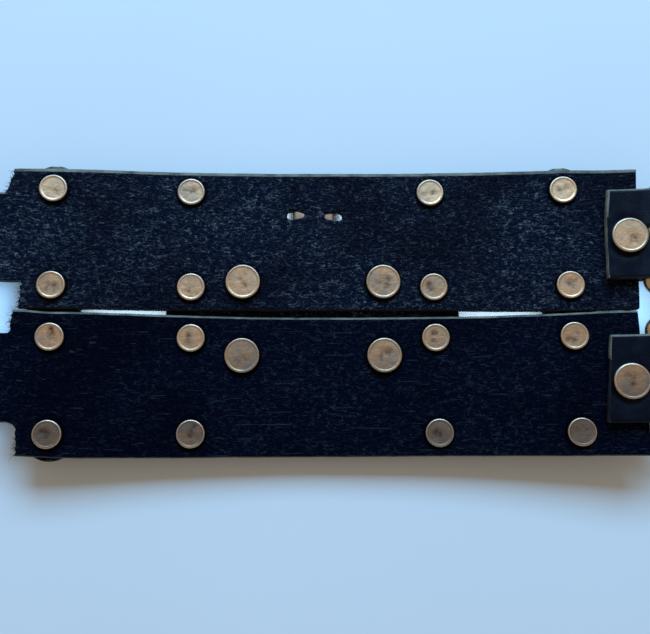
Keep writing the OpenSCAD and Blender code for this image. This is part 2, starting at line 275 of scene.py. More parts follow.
def pebbled_leather(name, relief, glint_share, scratches, dark, light, gloss):
    """Black leather with a finely wrinkled face whose ridges are painted paler, as painted glints of light.
    """
    n = Nodes(name)
    long_lines = strokes(n, (300, 880, 880), 0.050, 0.0007)
    short_lines = strokes(n, (480, 1200, 1200), 0.050, 0.0009)
    broken = n.span(n.noise(620, 2), 0.40, 0.58)
    speckled = n.span(n.noise(1000, 2), 0.42, 0.58)
    sparse = n.times(short_lines, n.times(speckled, 0.8))
    lines = n.math("POWER", n.plus(n.times(long_lines, broken), sparse, clamp=True), 1.7)
    pebbles = n.span(n.cells(700, warped_place(n, 420, 0.0012)), 0.0, 0.30)
    height = n.plus(n.times(pebbles, 0.35), n.times(lines, 0.8))
    fine = n.noise(2600, 3, 0.6)
    scratch_lines = n.noise(1.0, 2, 0.4, n.stretched((70, 2600, 2600)))
    scratch = n.times(n.span(scratch_lines, 0.67, 0.72), scratches)
    patches = n.span(n.noise(34, 3), 0.38, 0.62)
    colour = n.mix(patches, dark, light)
    # painted highlight: the wrinkles' lines are coloured pale where light would glint on them
    glint = n.times(lines, n.span(patches, 0, 1, 0.3 * glint_share, glint_share))
    colour = n.mix(glint, colour, GLINT_COLOUR)
    colour = n.mix(scratch, colour, SCRATCHED)
    # painted shade round the caps, darkest right beside them
    colour = n.mix(n.hollow(), colour, CAP_RING_SHADE)
    rough = n.plus(n.span(patches, 0, 1, 0.42, 0.48), n.times(fine, 0.14))
    normal = n.bump(height, relief, 0.0005)
    normal = n.bump(fine, 0.3, 0.00006, normal)
    return n.finish(Base_Color=colour, Roughness=rough, Normal=normal, Specular_IOR_Level=gloss)


def grain_leather(name):
    """The smooth, waxed grain side: faint pores, long soft creases and rubbed patches."""
    n = Nodes(name)
    pores = n.span(n.cells(1500, warped_place(n, 900, 0.0004)), 0.0, 0.3)
    creases = n.span(n.noise(1.0, 4, 0.55, n.stretched((480, 70, 300))), 0.4, 0.6)
    rub = n.span(n.noise(130, 4), 0.45, 0.7)
    height = n.plus(n.times(pores, 0.5), n.times(creases, 0.7))
    colour = n.mix(rub, (0.0004, 0.0024, 0.0090, 1), (0.0034, 0.0085, 0.0180, 1))
    rough = n.span(rub, 0, 1, 0.38, 0.50)
    normal = n.bump(height, 0.35, 0.00012)
    return n.finish(Base_Color=colour, Roughness=rough, Normal=normal, Specular_IOR_Level=0.10)


def cut_edge(name, dark, pale, share):
    """A cut, burnished edge: fibres along it, paler where it is rubbed."""
    n = Nodes(name)
    fibres = n.noise(1.0, 5, 0.65, n.stretched((700, 700, 3000)))
    rub = n.span(n.noise(210, 4), 0.30, 0.62, 0.0, share)
    colour = n.mix(rub, dark, pale)
    normal = n.bump(fibres, 0.6, 0.00016)
    rough = n.span(fibres, 0.3, 0.7, 0.50, 0.70)
    return n.finish(Base_Color=colour, Roughness=rough, Normal=normal, Specular_IOR_Level=0.25)


def worn_metal(name, bright, dull, polish, painted_shade_span=None):
    """Plated metal: tarnish in patches, fine scratches and dull, hammered spots.

    painted_shade_span gives two places across the cuff in metres: the metal is painted dullest at the
    first and least at the second, a painted shade for the darker reflections of those caps.
    """
    n = Nodes(name)
    wide = n.span(n.noise(38, 2), 0.40, 0.62)
    tarnish = n.span(n.noise(260, 5, 0.6), 0.44, 0.70)
    spots = n.span(n.noise(900, 3, 0.6), 0.55, 0.75)
    lines = n.span(n.noise(1.0, 3, 0.5, n.stretched((900, 2400, 1400))), 0.45, 0.62)
    share = n.plus(n.times(wide, 0.45), n.times(tarnish, 0.45))
    if painted_shade_span:
        # painted shade: caps towards the bottom of the picture are mixed towards the dull colour
        across = n.add("ShaderNodeSeparateXYZ", {"Vector": n.place}).outputs["Y"]
        share = n.plus(share, n.span(across, *painted_shade_span, 0.75, 0.0), clamp=True)
    stain = n.times(n.hollow(), n.span(n.noise(700, 4, 0.65), 0.35, 0.60, 0.3, 1.0))
    colour = n.mix(share, bright, dull)
    colour = n.mix(n.times(stain, 0.85), colour, STAINED_METAL)
    colour = n.mix(n.times(spots, 0.4), colour, dull)
    rough = n.plus(n.span(tarnish, 0, 1, polish, polish + 0.12), n.times(lines, 0.08))
    normal = n.bump(lines, 0.12, 0.00004)
    normal = n.bump(n.noise(1400, 3), 0.15, 0.00006, normal)
    return n.finish(Base_Color=colour, Metallic=1.0, Roughness=rough, Normal=normal)


UPPER_FLESH = pebbled_leather("upper_flesh_side", 0.8, 0.85, 0.3,
                              (0.0002, 0.0012, 0.0080, 1), (0.0006, 0.0036, 0.0150, 1), 0.035)
LOWER_FLESH = pebbled_leather("lower_flesh_side", 0.5, 0.14, 0.6,
                              (0.0002, 0.0009, 0.0060, 1), (0.0004, 0.0018, 0.0090, 1), 0.015)
GRAIN = grain_leather("grain_side")
EDGE = cut_edge("cut_edge", (0.004, 0.006, 0.009, 1), (0.022, 0.026, 0.028, 1), 0.8)
# painted highlight: the pale edge material, on the edges that face the window
LIT_EDGE = cut_edge("lit_pale_edge", (0.045, 0.050, 0.045, 1), (0.200, 0.205, 0.170, 1), 0.9)
# the caps towards the bottom of the picture get painted shade, for their darker reflections
NICKEL = worn_metal("worn_nickel", (0.70, 0.435, 0.250, 1), (0.205, 0.168, 0.142, 1), 0.34,
                    (-0.034, -0.012))
DULL_NICKEL = worn_metal("dull_nickel", (0.40, 0.25, 0.175, 1), (0.24, 0.15, 0.105, 1), 0.58)
# painted highlight: the caps' rolled rims are a paler metal, for the bright line of light along them
HIGHLIT_RIM = worn_metal("highlit_rim", (0.62, 0.50, 0.37, 1), (0.34, 0.27, 0.20, 1), 0.36)
# painted shade: the dark metal on the sides and undersides of the caps, for their dark outline
CAP_SIDE_SHADE = worn_metal("shaded_cap_side", (0.060, 0.050, 0.045, 1), (0.020, 0.020, 0.020, 1), 0.55)
BRASS = worn_metal("polished_brass", (0.66, 0.52, 0.32, 1), (0.40, 0.31, 0.18, 1), 0.22)

# ---------------------------------------------------------------- flat patterns


class Pattern:
    """A flat pattern of quads, built from blocks and then punched."""

    def __init__(self):
        self.points = []
        self.quads = []
        self.holes = []

    def block(self, columns, rows, place):
        """A grid of quads; place(column, row) gives each point."""
        first = len(self.points)
        count = len(rows)
        self.points += [place(c, r) for c in columns for r in rows]
        for i in range(len(columns) - 1):
            for j in range(count - 1):
                a = first + i * count + j
                self.quads.append((a, a + count, a + count + 1, a + 1))

    def weld(self):
        """Joins the points that blocks share."""
        place, order, new = {}, [], []
        for p in self.points:
            key = (round(p[0], 4), round(p[1], 4))
            if key not in place:
                place[key] = len(new)
                new.append(p)
            order.append(place[key])
        self.points = new
        self.quads = [tuple(order[i] for i in q) for q in self.quads]

    def punch(self, centre, reach, to_edge):
        """Cuts a hole: clears the quads within reach of centre, then rings lead to to_edge(x, y)."""
        def inside(quad):
            x = sum(self.points[i][0] for i in quad) / 4 - centre[0]
            y = sum(self.points[i][1] for i in quad) / 4 - centre[1]
            return abs(x) < reach[0] and abs(y) < reach[1]

        self.holes.append((centre, reach))
        gone = [q for q in self.quads if inside(q)]
        kept = [q for q in self.quads if not inside(q)]
        sides = {(q[i], q[(i + 1) % 4]) for q in gone for i in range(4)}
        rim = [(a, b) for a, b in sides if (b, a) not in sides]
        ring = {a: a for side in rim for a in side}
        for share in (0.35, 0.65, 0.85, 1.0):
            new = {}
            for a in ring:
                x, y = self.points[a][0] - centre[0], self.points[a][1] - centre[1]
                ex, ey = to_edge(x, y)
                new[a] = len(self.points)
                self.points.append((centre[0] + x + (ex - x) * share, centre[1] + y + (ey - y) * share))
            kept += [(ring[a], ring[b], new[b], new[a]) for a, b in rim]
            ring = new
        self.quads = kept


def spaced(stops, step, fine=True):
    """Values from the first stop to the last, about a step apart, through every stop.

    fine sets them closer at both ends, for the rounded edges.
    """
    values = []
    for a, b in zip(stops, stops[1:]):
        count = max(1, round((b - a) / step))
        values += [a + (b - a) * i / count for i in range(count)]
    values.append(stops[-1])
    if fine:
        low, high = stops[0], stops[-1]
        values = [v for v in values if v in stops or low + 0.8 < v < high - 0.8]
        values += [v for c in (0.15, 0.35, 0.6) for v in (low + c, high - c)]
    return sorted(set(round(v, 5) for v in values))


def slot_edge(half, r_out, r_in, out):
    """For punch(): a slot whose end on the out side has radius r_out and whose other end r_in."""
    def to_edge(x, y):
        share = min(max((x * out + half) / (2 * half), 0), 1) if half else 0.5
        radius = r_in + (r_out - r_in) * share
        cx = min(max(x, -half), half)
        dx, dy = x - cx, y
        if abs(dx) < 1e-9 and abs(dy) < 1e-9:
            dy = 1e-6
        size = math.hypot(dx, dy)
        return cx + dx / size * radius, dy / size * radius
    return to_edge


def fbm(x, y, z, scale, octaves=3):
    """Layered noise between about -1 and 1 at a length scale in millimetres."""
    return noise.fractal(Vector((x / scale, y / scale, z)), 0.9, 2.1, octaves)


def waves(points, depth, z, scale, octaves=3):
    """Layered noise of about this depth at each point."""
    return depth * np.array([fbm(x, y, z, scale, octaves) for x, y in points])


# ---------------------------------------------------------------- bending and thickness

# the radii of the rounded edges of holes and of plain outlines
HOLE_EDGE_R = 0.3
PLAIN_EDGE_R = 0.45
# how far a cut edge bulges between its two faces
BULGE = 0.2


def on_face(height):
    """A bend for a sheet whose flesh face lies at a height above the bands' flesh face."""
    def bend(points, depth):
        return curl_points(points[:, 0], points[:, 1], height - depth)
    return bend


def near_rim(points, ends, radius):
    """For each point: 1 on these rim edges, falling to 0 at radius from them."""
    if not len(ends):
        return np.zeros(len(points))
    tree = KDTree(len(ends))
    for i, (a, b) in enumerate(ends):
        tree.insert((*((points[a] + points[b]) / 2), 0), i)
    tree.balance()
    gap = np.array([tree.find((*p, 0))[2] for p in points])
    gap[np.unique(ends)] = 0
    return np.clip(1 - gap / radius, 0, 1)


def rounded(near, radius):
    """How far a rounded edge of this radius has dropped."""
    return radius * (1 - np.sqrt(1 - near ** 2)) * 0.9


def outward(points, rim):
    """The direction out of the pattern at every rim edge."""
    along = points[rim[:, 1]] - points[rim[:, 0]]
    out = np.stack([along[:, 1], -along[:, 0]], 1)
    return out / np.maximum(np.linalg.norm(out, axis=1, keepdims=True), 1e-9)


def sheet(name, pattern, bend, thickness, flesh, grain, materials, lit_edge_radii, hollow=None):
    """A closed piece of leather: the flesh face, the grain face and a round rim between them.

    flesh(points) gives how far the flesh face stands proud of its plane, and grain(points)
    how far the grain face is pressed in. The materials are the flesh's, the grain's, the
    edge's and the pale edge's, which is a painted highlight. The edge argument gives, from
    middles and out, the radius of every rim edge that gets that painted highlight, and 0 for
    the others. hollow(points) marks where the flesh face gets painted shade round the caps.
    """
    pattern.weld()
    points, quads = np.array(pattern.points), np.array(pattern.quads)
    sides = np.concatenate([quads[:, [i, (i + 1) % 4]] for i in range(4)])
    known = set(map(tuple, sides.tolist()))
    rim = np.array([s for s in sides.tolist() if (s[1], s[0]) not in known])
    in_hole = np.zeros(len(rim), bool)
    for centre, reach in pattern.holes:
        in_hole |= (abs(points[rim[:, 0]] - centre) < reach).all(1)

    out = outward(points, rim)
    radii = lit_edge_radii((points[rim[:, 0]] + points[rim[:, 1]]) / 2, out) * ~in_hole
    plain = near_rim(points, rim[(radii == 0) & ~in_hole], PLAIN_EDGE_R)
    hole = near_rim(points, rim[in_hole], HOLE_EDGE_R)
    drop = np.maximum(rounded(plain, PLAIN_EDGE_R), rounded(hole, HOLE_EDGE_R))
    edge_slot = np.full(len(quads), 2)
    # painted highlight: quads near these edges get the pale edge material
    for radius in np.unique(radii[radii > 0]):
        pale = near_rim(points, rim[radii == radius], radius)
        drop = np.maximum(drop, rounded(pale, radius))
        edge_slot[pale[quads].mean(1) > 0.12] = 3
    bevel = (edge_slot == 3) | (plain[quads].mean(1) > 0.5)

    depth_flesh = drop - flesh(points)
    depth_grain = thickness(points) - drop * 0.8 - grain(points)
    count = len(points)
    layers = [bend(points, depth_flesh), bend(points, depth_grain)]
    faces = [quads, quads[:, ::-1] + count]
    slots = [np.where(bevel, edge_slot, 0), np.where(bevel, edge_slot, 1)]

    # the rim's rings run from the flesh edge to the grain edge, bulging a little
    edge_points = np.unique(rim)
    normal = np.zeros_like(points)
    np.add.at(normal, rim[:, 0], out)
    np.add.at(normal, rim[:, 1], out)
    normal /= np.maximum(np.linalg.norm(normal, axis=1, keepdims=True), 1e-9)
    steps = [np.arange(count)]
    base = 2 * count
    for share in (0.25, 0.5, 0.75):
        depth = depth_flesh[edge_points] * (1 - share) + depth_grain[edge_points] * share
        moved = points[edge_points] + normal[edge_points] * BULGE * math.sin(math.pi * share)
        layers.append(bend(moved, depth))
        ring = np.zeros(count, int)
        ring[edge_points] = base + np.arange(len(edge_points))
        steps.append(ring)
        base += len(edge_points)
    steps.append(np.arange(count) + count)
    a, b = rim[:, 0], rim[:, 1]
    for up, down in zip(steps, steps[1:]):
        faces.append(np.stack([up[a], down[a], down[b], up[b]], 1))
        # the rim faces of the edges with a painted highlight get the pale edge material
        slots.append(np.where(radii > 0, 3, 2))
    piece = mesh_object(name, np.concatenate(layers), np.concatenate(faces), materials, np.concatenate(slots))
    # the flesh face's painted shade round the caps
    if hollow:
        mark_hollows(piece, hollow(points))
    return piece


def mesh_object(name, points, faces, materials, slots=None):
    """A smooth mesh from points in millimetres from the cuff's middle."""
    mesh = bpy.data.meshes.new(name)
    mesh.from_pydata(in_row(points).tolist(), [], [tuple(map(int, f)) for f in faces])
    for material in materials:
        mesh.materials.append(material)
    if slots is not None:
        mesh.polygons.foreach_set("material_index", np.asarray(slots, np.int32))
    mesh.polygons.foreach_set("use_smooth", np.ones(len(mesh.polygons), bool))
    mesh.update()
    piece = bpy.data.objects.new(name, mesh)
    bpy.context.scene.collection.objects.link(piece)
    return piece


def mark_hollows(piece, dirt_and_shade):
    """Gives a mesh's first points the hollow attribute, which the materials darken by: painted shade round
    the caps on the leather, stains in the caps' dents on the metal.
    """
    values = np.zeros(len(piece.data.vertices), np.float32)
    values[:len(dirt_and_shade)] = dirt_and_shade
    piece.data.attributes.new("hollow", "FLOAT", "POINT").data.foreach_set("value", values)


def loft_faces(first, rings, around, closed=False, flip=False):
    """The faces of a loft whose rings of points start at first, with its ends unless closed.

    flip turns the faces over, for rings that run the other way round.
    """
    faces = []
    for i in range(rings if closed else rings - 1):
        here, there = first + i * around, first + (i + 1) % rings * around
        for k in range(around):
            m = (k + 1) % around
            faces.append((here + k, here + m, there + m, there + k))
    if not closed:
        faces.append(tuple(first + k for k in reversed(range(around))))
        faces.append(tuple(first + (rings - 1) * around + k for k in range(around)))
    return [(face[0],) + face[:0:-1] for face in faces] if flip else faces


# ---------------------------------------------------------------- rivets

# how far a cap presses into the leather
CAP_SINK = 0.25
# how far the middle of a front cap stands above its edge
DOME = 0.35


def solids_of(node):
    """The vertices of each separate solid in a CAD node, in millimetres from the cuff's middle."""
    mesh = frame["nodes"][node].data
    points = np.array([v.co for v in mesh.vertices]) / MM - MIDDLE
    keys = {}
    welded = [keys.setdefault(tuple(np.round(p, 3)), len(keys)) for p in points]
    parent = list(range(len(keys)))

    def root(i):
        while parent[i] != i:
            parent[i] = parent[parent[i]]
            i = parent[i]
        return i

    for edge in mesh.edges:
        a, b = (root(welded[i]) for i in edge.vertices)
        parent[a] = b
    groups = {}
    for i, w in enumerate(welded):
        groups.setdefault(root(w), []).append(points[i])
    return [np.array(g) for g in groups.values()]


class Spot:
    """A round place on a pattern that a cap presses in."""

    def __init__(self, along, across, radius):
        self.along, self.across, self.radius = along, across, radius


class Rivet:
    """Where one rivet cap stands: its centre on the axis, its axis, its radius and its two ends."""

    def __init__(self, solid, upright):
        low, high = solid.min(0), solid.max(0)
        self.centre = (low + high) / 2
        turn = 0 if upright else math.asin(self.centre[0] / CURL_R)
        self.axis = np.array([-math.sin(turn), 0, math.cos(turn)])
        offset = solid - self.centre
        level = offset @ self.axis
        self.low, self.high = level.min(), level.max()
        self.radius = (high[1] - low[1]) / 2
        self.along = CURL_R * turn if turn else arc(self.centre[0])
        self.across = self.centre[1]


def rivets_of(node):
    upright = node.startswith("link")
    found = [Rivet(s, upright) for s in solids_of(node)]
    return sorted(found, key=lambda r: (round(r.across), round(r.along)))


CROSS = ("outer_left", "inner_left", "inner_right", "outer_right")
SMALL = [r for side in CROSS for r in rivets_of(f"{side}_rivet_caps")]
LINK = rivets_of("link_rivet_caps")
FOLD = rivets_of("fold_rivet_caps")

STAPLE_LOW, STAPLE_HIGH = (corner - MIDDLE for corner in box_mm("centre_staple"))
STAPLE_Y = (STAPLE_LOW[1] + STAPLE_HIGH[1]) / 2
# the staple's slots: which way each one's wide end points, and its middle
STAPLE_SLOTS = ((-1, -4.9, STAPLE_Y + 0.25), (1, 5.8, STAPLE_Y - 0.2))


def smooth(x):
    """0 up to 0, 1 from 1, and a soft step between."""
    x = np.clip(x, 0, 1)
    return x * x * (3 - 2 * x)


def pressed(points, rivets, spread=1.5):
    """How far the leather is pressed in under and round these rivets, in millimetres."""
    depth = np.zeros(len(points))
    for rivet in rivets:
        r = np.hypot(points[:, 0] - rivet.along, points[:, 1] - rivet.across)
        depth = np.maximum(depth, CAP_SINK * (1 - smooth((r - rivet.radius - 0.1) / spread)) ** 1.5)
    return depth


def cap_profile(radius, base, height, rim, dished):
    """The section of a cap from the middle of its face to the middle of its underside.

    Also says at which of its points the rim, painted paler as a highlight, and the side, painted dark as
    shade, start.
    """
    dish, start, run = (0.09, 0.95, 0.5) if dished else (-DOME, 1.5, 1.2)
    inner = [radius * t for t in (0.02, 0.2, 0.35, 0.5, 0.62, 0.7)]
    inner += list(np.linspace(radius - 1.1, radius - rim, 9))
    face = [(r, height - dish * (1 - float(smooth((r - radius + start) / run)))) for r in inner]
    turns = np.linspace(0.15, math.pi / 2, 8)
    roll = [(radius - rim + rim * math.sin(a), height - rim * (1 - math.cos(a))) for a in turns]
    under = [(radius - 0.05, base + 0.12), (radius - 0.25, base), (radius * 0.5, base), (0.02, base)]
    return face + roll + under, (len(face) - 1, len(face) + 4)


def hammered(rivet, rng, dished):
    """How deep a cap's face is dented at x, y and radius r, and how stained it is at x and y."""
    phase = rng.uniform(0, 50)
    wander = 0.22 * rivet.radius
    deepest = 0.14 if rivet.radius > 4.5 else 0.10
    # the caps towards the bottom of the picture are the most battered and stained
    battered = float(np.interp(rivet.across, (-34, 36), (1, 0.35)))
    strikes = [
        (rng.gauss(0, wander), rng.gauss(0, wander), rng.uniform(0.5, 1.1), rng.uniform(0.01, deepest))
        for _ in range(4)
    ]

    def depth(x, y, r):
        swell = waves(zip(x, y), 0.03, phase, 1.5)
        if not dished:
            return 0.03 + abs(swell) * 0.6
        for cx, cy, size, deep in strikes:
            dent = (0.3 + 0.7 * battered) * deep
            swell = swell + dent * np.exp(-((x - cx) ** 2 + (y - cy) ** 2) / size ** 2)
        return swell * (1 - smooth((r - rivet.radius + 1.4) / 0.7))

    def stain(x, y):
        dirt_and_shade = np.zeros(len(x))
        for cx, cy, size, deep in strikes:
            spread = (0.95 * size) ** 2
            dirt_and_shade += 2 * battered * deep / deepest * np.exp(-((x - cx) ** 2 + (y - cy) ** 2) / spread)
        return np.minimum(dirt_and_shade, 1)

    return depth, stain


def rivet_caps(node, dished, height, rim, seed):
    """All the caps of one node: dished and hammered on the flesh side, domed on the front."""
    rng = random.Random(seed)
    segments = 64
    turns = np.arange(segments) * 2 * math.pi / segments
    side = np.array([0.0, 1.0, 0.0])
    points, faces, slots, dirt_and_shade = [], [], [], []
    for rivet in rivets_of(node):
        outward = rivet.axis * (1 if dished else -1)
        across = np.cross(side, outward)
        end = rivet.high if dished else -rivet.low - DOME
        profile, starts = cap_profile(rivet.radius, end - height, end, rim, dished)
        dents, stain = hammered(rivet, rng, dished)
        first = len(points)
        for r, h in profile:
            x, y = r * np.cos(turns), r * np.sin(turns)
            level = h - dents(x, y, r)
            dirt_and_shade += list(stain(x, y) * (r < rivet.radius - 0.6))
            points += list(rivet.centre + np.outer(x, across) + np.outer(y, side) + np.outer(level, outward))
        faces += loft_faces(first, len(profile), segments, flip=True)
        for i in range(len(profile) - 1):
            slots += [sum(i >= start for start in starts)] * segments
        slots += [0, 2]
    # the caps' materials: the face, the rim painted paler as a highlight, and the side painted dark as shade
    piece = mesh_object(f"{node}_worn", points, faces, [NICKEL, HIGHLIT_RIM, CAP_SIDE_SHADE], slots)
    mark_hollows(piece, dirt_and_shade)
    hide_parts(node)
    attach(piece, "cuff")


# ---------------------------------------------------------------- the two bands

TIP_X = 186.0
HOLE_R = 1.75
HOLES = [91.0 + 15.0 * i for i in range(6)]
LOOP_T = 1.6
SLOT_HALF_W = 2.3
# how far the prong's slot runs from the fold's middle towards the front
SLOT_FRONT = 7.6
# how far above the strap's middle each tab's end has its corner
NOTCH = 5.5
# the radius of each tab's end, above and below that corner, where the end gets a painted highlight
TAB_EDGE_R = {"upper": (0.75, 0.35), "lower": (0.1, 0)}


class FoldPath:
    """The flesh face's line in section: along the band, round the heel bar and back as a tab."""

    # from the bar's middle to the leather's flesh face, and how far round each way it hugs the bar
    REACH = WIRE_R + 0.06
    GRIP = math.radians(118)
    # how far before the bar's middle the straight strap starts to bend
    LEAVE = 5.6
    # more than the straight runs on the band and on the tab
    BAND_RUN = 400
    TAB_RUN = 40

    def __init__(self, bar, middle, skew):
        leave = self.LEAVE
        start = np.array([-leave, 0.0])
        end = self.REACH * np.array([math.cos(self.GRIP), -math.sin(self.GRIP)])
        pull = leave * 0.45
        lead = end - pull * 0.6 * np.array([math.sin(self.GRIP), math.cos(self.GRIP)])
        down = [
            (1 - t) ** 3 * start + 3 * (1 - t) ** 2 * t * (start + [pull, 0])
            + 3 * (1 - t) * t * t * lead + t ** 3 * end
            for t in np.linspace(0, 1, 24)
        ]
        turns = np.linspace(-self.GRIP, self.GRIP, 48)[1:-1]
        wrap = [self.REACH * np.array([math.cos(a), math.sin(a)]) for a in turns]
        back = [p * [1, -1] for p in down[::-1]]
        ends = [-leave - self.BAND_RUN, 0], [-leave - self.TAB_RUN, 0]
        line = np.array([ends[0], *down, *wrap, *back, ends[1]])
        ahead = np.gradient(line, axis=0)
        ahead /= np.linalg.norm(ahead, axis=1, keepdims=True)
        ahead[0] = ahead[1] = (1, 0)
        ahead[-1] = ahead[-2] = (-1, 0)
        steps = np.linalg.norm(np.diff(line, axis=0), axis=1)
        self.line = line
        self.normal = np.stack([-ahead[:, 1], ahead[:, 0]], 1)
        self.s = np.concatenate([[0], np.cumsum(steps)]) + line[0, 0] + bar
        self.bar, self.middle, self.skew = bar, middle, skew
        self.leave_s, self.back_s = self.s[1], self.s[-2]
        self.mid_s = (self.leave_s + self.back_s) / 2
        self.tab_sum = self.back_s + bar - leave

    def bend(self, points, depth):
        """Points of the pattern on the path; near the fold the leather follows the skewed bar."""
        s = points[:, 0]
        x, h = self.place(s)
        nx = np.interp(s, self.s, self.normal[:, 0])
        nh = np.interp(s, self.s, self.normal[:, 1])
        size = np.hypot(nx, nh)
        near = smooth((9.5 - abs(s - self.mid_s)) / 5)
        x = self.bar + x - near * math.tan(self.skew) * (points[:, 1] - self.middle)
        return curl_points(x - depth * nx / size, points[:, 1], h - depth * nh / size)

    def place(self, s):
        """Where the flesh face is, along from the bar's middle and above the band's flesh face."""
        return np.interp(s, self.s, self.line[:, 0]), np.interp(s, self.s, self.line[:, 1])

    def tab_s(self, along):
        """The pattern coordinate of a place on the folded-back tab."""
        return self.tab_sum - along

    def thickness(self, s):
        """Full on the band and the tab, and thinned to keep the outside smooth over the bar."""
        x, h = self.place(s)
        rise = (self.REACH + LOOP_T - BAND_T) * smooth(1 + x / self.LEAVE)
        return np.where(x < 0, BAND_T + rise - abs(h), LOOP_T)


class Band:
    """One band with its tongue, neck, fold and tab, as one piece of leather.

    strap: the narrow part's middle across, its width, and the band's end along. shoulders: how
    far left the cut runs at the band's top, the tongue's top and bottom, and the band's bottom.
    tab: where the tab ends at its top, its corner and its bottom. slot_back: how far the
    prong's slot runs from the fold's middle towards the tab. fillets: the radii below and
    above the tongue's root. edge_r: the radius of the band's top edge, which is painted pale as
    a highlight. bows: how far the bottom and the top edge bow, as functions of the place along.
    """

    def __init__(self, row, strap, shoulders, tab, slot_back, fillets, edge_r, bows, seed):
        self.row, self.seed, self.edge_r, self.bows = row, seed, edge_r, bows
        self.slot_back = slot_back
        low, high = (corner - MIDDLE for corner in box_mm(f"{row}_band"))
        self.y1, self.y2 = low[1], high[1]
        self.mid, width, self.end = strap
        self.low, self.high = self.mid - width / 2, self.mid + width / 2
        self.shoulders, self.tab, self.fillets = shoulders, tab, fillets
        self.left = -arc(sum(shoulders) / 4)
        joint = JOINTS[f"{row}_frame_swing"]
        bar = np.array(joint["pos_m"]) / MM - MIDDLE
        self.path = FoldPath(arc(bar[0]), self.mid, math.asin(joint["axis"][0]))
        self.caps = [r for r in SMALL + LINK if self.y1 < r.across < self.y2]
        self.fold_cap = next(r for r in FOLD if self.y1 < r.across < self.y2)

    def cut(self, across):
        """Where the hand-cut left end runs, at a distance across."""
        top, tongue_top, tongue_bottom, bottom = self.shoulders
        places = [self.y1, self.low, self.high, self.y2]
        return -arc(np.interp(across, places, [bottom, tongue_bottom, tongue_top, top]))

    def block_point(self, s, row):
        """A point of the wide part, whose columns turn into the cut line at its left end."""
        fade = 1 - float(smooth((s - self.left) / 16))
        return s + (self.cut(row) - self.left) * fade, row

    def tongue_point(self, d, row):
        """A point d out from the shoulders, on the line that starts at row."""
        def fillet(r):
            return r * (1 - math.sqrt(max(0, 1 - max(0, 1 - d / r) ** 2)))

        bottom, top = self.fillets
        share = (row - self.low + bottom) / (self.high - self.low + bottom + top)
        low, high = self.low - fillet(bottom), self.high + fillet(top)
        half = (self.high - self.low) / 2
        tip = -arc(TIP_X) + half - math.sqrt(max(half * half - ((2 * share - 1) * half) ** 2, 0))
        out = d / (self.left + arc(TIP_X))
        start = self.cut(row)
        return start + (tip - start) * out, low + share * (high - low)

    def tab_point(self, s, row):
        """A point of the neck and the tab, whose columns turn into the tab's slanted end."""
        share = float(smooth((s - self.path.back_s) / 6))
        top, bend, bottom = self.tab
        x = np.interp(row, [self.low, self.mid + NOTCH, self.high], [bottom, bend, top])
        return s - share * (arc(x) - arc(bend)), row

    def push(self, along, across):
        """Bows and small waves of the outline, and the rough cut of the left end."""
        share = (across - self.y1) / (self.y2 - self.y1)
        low_bow, high_bow = self.bows
        dy = low_bow(along) * (1 - share) + high_bow(along) * share
        dy += 0.1 * fbm(along, 7.7, self.seed, 20) + 0.05 * fbm(along, across, self.seed, 3)
        if along > self.right_of_bands():
            dy = 0.05 * fbm(along, across, self.seed, 6)
        dx = 0.25 * fbm(across, 3.1, self.seed, 9)
        out = along - self.cut(across)
        rough = math.exp(-max(out, 0) / 1.2) * math.exp(min(out + 1, 0) / 2)
        ragged = 0.5 * fbm(across, 1.3, self.seed + 4, 0.8, 4) + 0.3 * fbm(across, 5.3, self.seed, 4)
        return dx + rough * ragged, dy

    def right_of_bands(self):
        return arc(self.end) + 0.5

    def pattern(self):
        p = Pattern()
        bottom, top = self.fillets
        root_low, root_high = self.low - bottom, self.high + top
        # rows crowd at the tongue's sides, to keep the ends of its round tip smooth
        sides = [edge for gap in (0.15, 0.6, 1.2) for edge in (root_low + gap, root_high - gap)]
        rows = spaced(sorted([self.y1, root_low, self.low, self.high, root_high, self.y2] + sides), 0.55)
        p.block(spaced([self.left, arc(self.end)], 0.55), rows, self.block_point)
        reach = self.left + arc(TIP_X)
        root_rows = [r for r in rows if root_low - 1e-6 <= r <= root_high + 1e-6]
        p.block(spaced([-reach, 0], 0.7), root_rows, lambda d, row: self.tongue_point(-d, row))
        neck_rows = [r for r in rows if self.low - 1e-6 <= r <= self.high + 1e-6]
        fold_end = self.path.tab_s(arc(self.tab[1]))
        stops = [arc(self.end), self.path.leave_s, self.path.back_s, fold_end]
        p.block(spaced(stops, 0.42), neck_rows, self.tab_point)
        p.weld()
        for hole in HOLES:
            p.punch((-arc(hole), self.mid), (2.9, 2.9), slot_edge(0, HOLE_R, HOLE_R, 1))
        half = (SLOT_FRONT + self.slot_back) / 2
        middle = self.path.mid_s + (self.slot_back - SLOT_FRONT) / 2
        p.punch((middle, self.mid), (half + 1.2, 3.6),
                slot_edge(half - SLOT_HALF_W, SLOT_HALF_W, SLOT_HALF_W, 1))
        if self.row == "upper":
            for out, x, y in STAPLE_SLOTS:
                p.punch((x, y), (3.9, 2.7), slot_edge(1.45, 1.45, 0.95, out))
        p.points = [(x + dx, y + dy) for x, y in p.points for dx, dy in [self.push(x, y)]]
        return p

    def thickness(self, points):
        return self.path.thickness(points[:, 0])

    def flesh(self, points):
        """Swells, wrinkles and the rivets' hollows on the flesh face."""
        swell = waves(points, 0.2, self.seed, 30) + waves(points, 0.06, self.seed + 2, 1.5, 2)
        swell += waves(points * (0.35, 1), 0.06, 9, 1.2)
        away = smooth((arc(self.end) + 2 - points[:, 0]) / 6)
        return swell * away - pressed(points, self.caps)

    def grain(self, points):
        """Slight swells on the grain face, and the hollow under the fold rivet's cap."""
        swell = waves(points, 0.04, self.seed + 7, 8)
        spot = Spot(self.path.tab_s(self.fold_cap.along), self.fold_cap.across, self.fold_cap.radius)
        return swell + pressed(points, [spot], spread=2.6)

